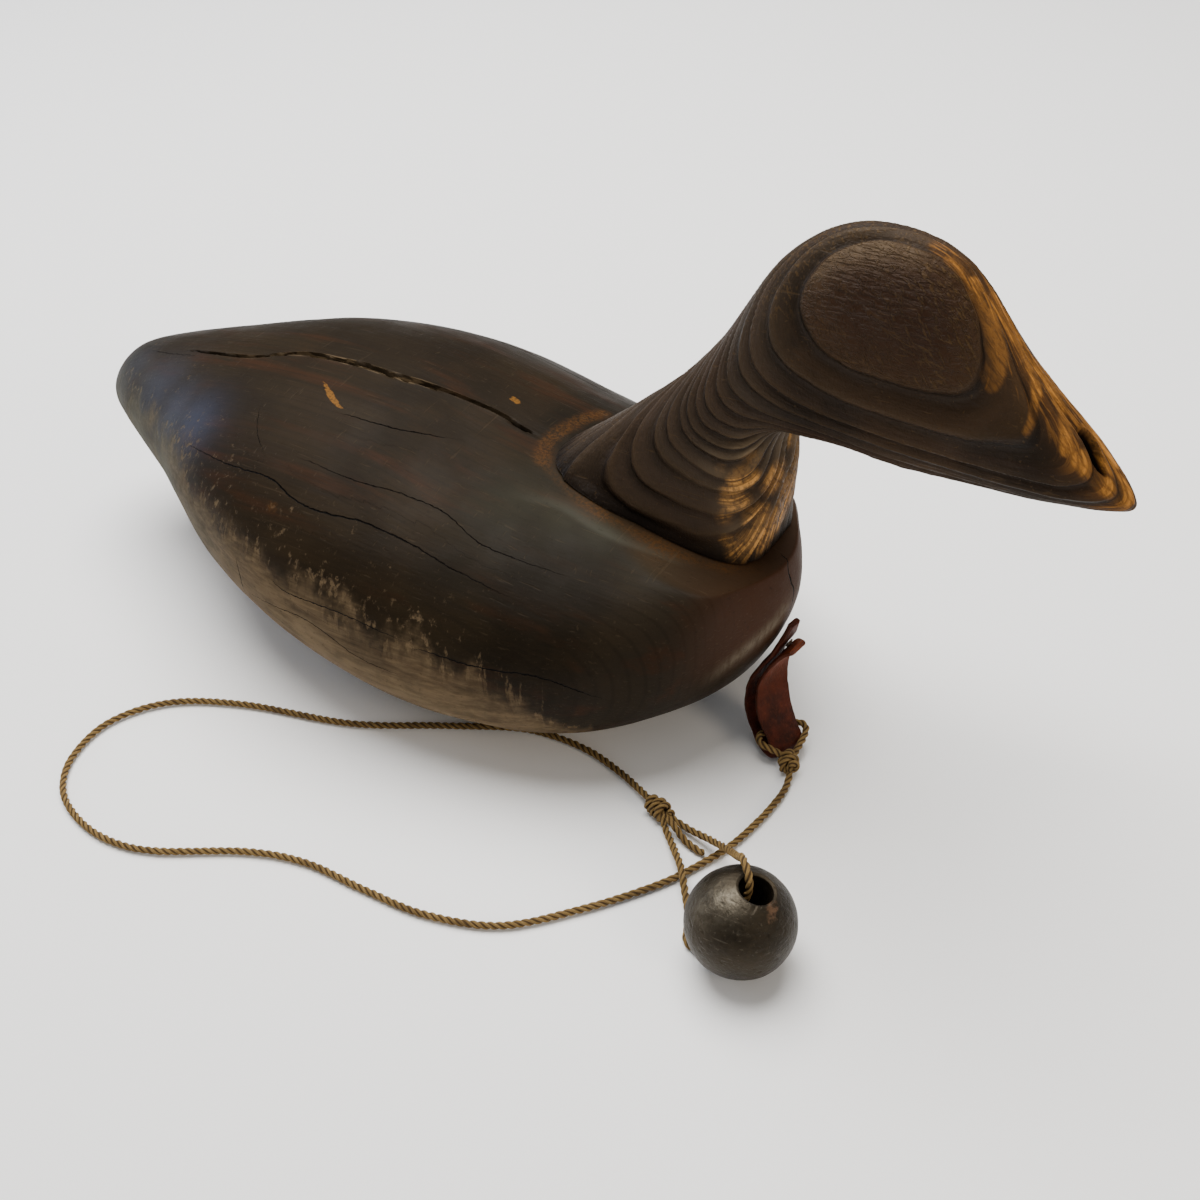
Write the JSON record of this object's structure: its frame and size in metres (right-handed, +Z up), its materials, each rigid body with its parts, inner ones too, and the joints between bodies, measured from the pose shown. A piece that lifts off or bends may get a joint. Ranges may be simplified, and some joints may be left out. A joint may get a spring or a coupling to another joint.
{
  "type": "duck decoy",
  "caption": "Carved wooden duck decoy that stands on its flat underside, with a folded leather loop under the breast, a loose twine line and a bored ball weight.",
  "frame": {"origin": "under the middle of the carved duck, bill and tail included, on the plane that its flat underside rests on", "axes": "+X towards the bill, +Y towards the duck's left side, +Z up"},
  "size_m": [0.4439, 0.2699, 0.2098],
  "materials": {
    "body_wood": "dark brown-black worn paint, bare grey-brown wood low on the sides",
    "head_wood": "dark brown worn paint over weathered growth layers, golden where rubbed bare",
    "strap_leather": "old red-brown leather",
    "nail_iron": "dull iron nail head",
    "twine": "tan laid twine",
    "weight_lead": "oxidised grey-brown lead"
  },
  "bodies": {
    "root": {"body": "body_wood", "head": "head_wood", "leather_loop": "strap_leather", "loop_nail": "nail_iron", "loop_knot": "twine", "anchor_line": "twine", "line_knot": "twine", "weight_line": "twine", "knot_tail": "twine", "lead_ball": "weight_lead"}
  },
  "joints": []
}
